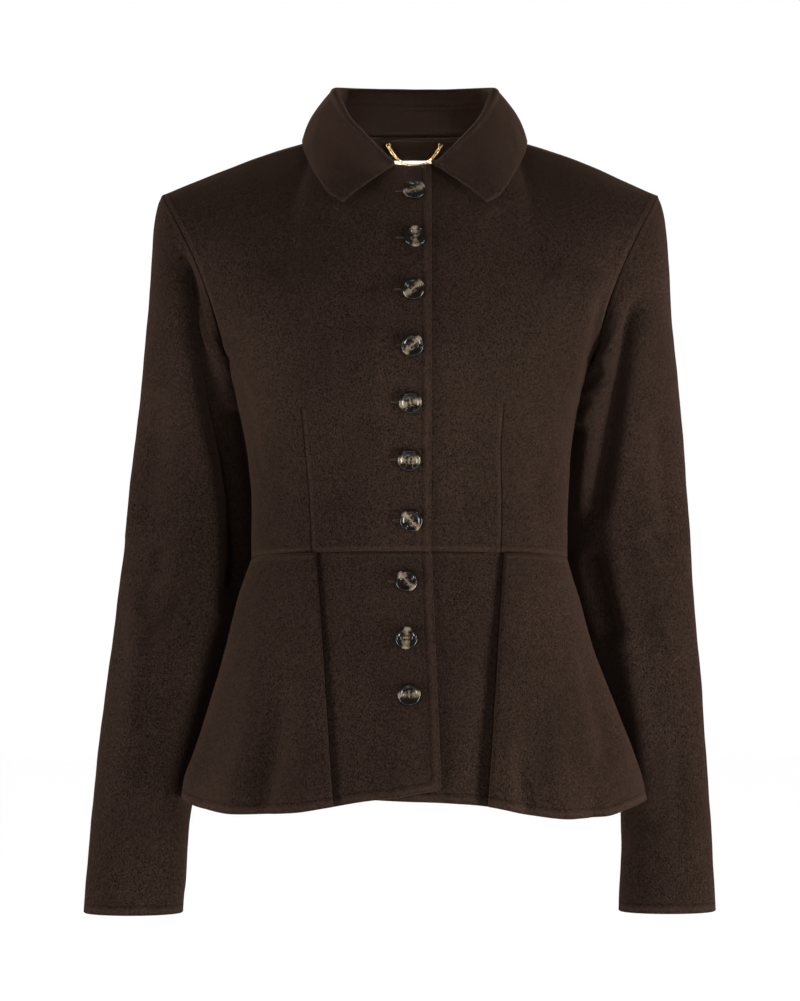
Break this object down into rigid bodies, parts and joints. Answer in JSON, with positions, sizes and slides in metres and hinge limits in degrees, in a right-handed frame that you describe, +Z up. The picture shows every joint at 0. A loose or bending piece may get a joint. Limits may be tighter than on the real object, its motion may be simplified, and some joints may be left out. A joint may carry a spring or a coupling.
{
  "type": "peplum jacket",
  "caption": "Fitted wool jacket with a shirt collar, long set-in sleeves, a button front and a pleated peplum, in its worn shape with no wearer.",
  "frame": {"origin": "middle of the neck opening, where the wearer's neck and shoulders hold the jacket up", "axes": "+Z up, -Y towards the front with the buttons, +X to the right as seen from the front, which is the wearer's left"},
  "size_m": [0.5515, 0.2889, 0.7197],
  "materials": {
    "wool": "matte",
    "horn": "gloss",
    "label": "satin",
    "chain": "polished"
  },
  "bodies": {
    "root": {"right_front": "wool", "left_front": "wool", "back": "wool", "right_front_peplum": "wool", "left_front_peplum": "wool", "back_peplum": "wool", "right_sleeve": "wool", "left_sleeve": "wool", "collar": "wool", "button_01": "horn", "button_02": "horn", "button_03": "horn", "button_04": "horn", "button_05": "horn", "button_06": "horn", "button_07": "horn", "button_08": "horn", "button_09": "horn", "button_10": "horn", "neck_label": "label", "hanger_chain": "chain"}
  },
  "joints": []
}
